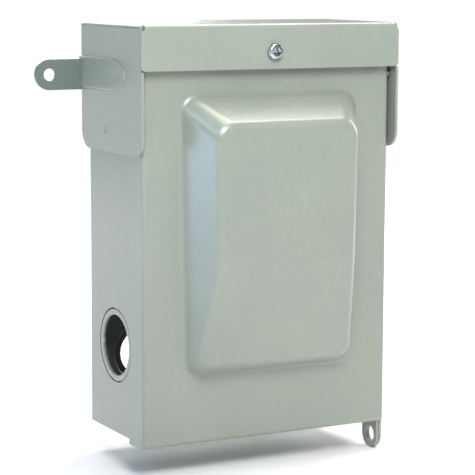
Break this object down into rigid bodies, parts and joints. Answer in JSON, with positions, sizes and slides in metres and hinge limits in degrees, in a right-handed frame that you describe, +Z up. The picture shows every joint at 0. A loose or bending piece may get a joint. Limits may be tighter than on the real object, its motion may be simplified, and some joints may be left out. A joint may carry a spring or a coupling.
{
  "type": "ac disconnect box",
  "caption": "Wall-mounted outdoor AC disconnect box: grey steel enclosure with rain hood, embossed lift-up cover, mounting ears, padlock eye and a pull-out switch.",
  "frame": {"origin": "middle of the back face, where the box meets the wall", "axes": "+Z up, the front cover faces -Y, +X to the right as seen from the front"},
  "size_m": [0.1784, 0.081, 0.2041],
  "materials": {
    "grey_enamel": "semi-gloss baked grey enamel on steel",
    "zinc_steel": "bright zinc plate",
    "tinned_aluminium": "tin-plated, satin",
    "plated_copper": "copper, lightly tarnished",
    "black_moulding": "moulded phenolic, matt",
    "grey_moulding": "moulded thermoplastic, fine texture"
  },
  "bodies": {
    "enclosure": {"back_panel": "grey_enamel", "left_side_wall": "grey_enamel", "right_side_wall": "grey_enamel", "top_end_cap": "grey_enamel", "bottom_end_cap": "grey_enamel", "left_knockout_ring": "grey_enamel", "right_knockout_ring": "grey_enamel", "right_knockout_plug": "grey_enamel", "back_left_outer_ring": "grey_enamel", "back_left_inner_ring": "grey_enamel", "back_right_ring": "grey_enamel", "back_right_plug": "grey_enamel", "floor_knockout_plugs": "grey_enamel", "rain_hood": "grey_enamel", "hood_screw": "zinc_steel", "left_mounting_ear": "grey_enamel", "right_mounting_ear": "grey_enamel", "cover_pivot_pins": "zinc_steel", "switch_base": "black_moulding", "base_screws": "zinc_steel", "contact_straps": "plated_copper", "strap_screws": "zinc_steel", "contact_jaws": "plated_copper", "jaw_springs": "zinc_steel", "wire_lugs": "tinned_aluminium", "lug_screws": "tinned_aluminium", "dead_front": "grey_moulding", "dead_front_screws": "zinc_steel", "ground_lug": "tinned_aluminium", "ground_foot_screw": "zinc_steel", "ground_wire_screw": "zinc_steel"},
    "cover": {"front_cover": "grey_enamel"},
    "pullout": {"pullout_handle": "black_moulding", "pullout_blades": "plated_copper", "blade_rivets": "plated_copper"}
  },
  "joints": [
    {"name": "cover_hinge", "type": "hinge", "parent": "enclosure", "child": "cover", "pos_m": [0, -0.0595, 0.071], "axis": [-1, 0, 0], "range_deg": [0, 95]},
    {"name": "pullout_slide", "type": "slide", "parent": "enclosure", "child": "pullout", "axis": [0, -1, 0], "range_m": [0, 0.012]}
  ]
}
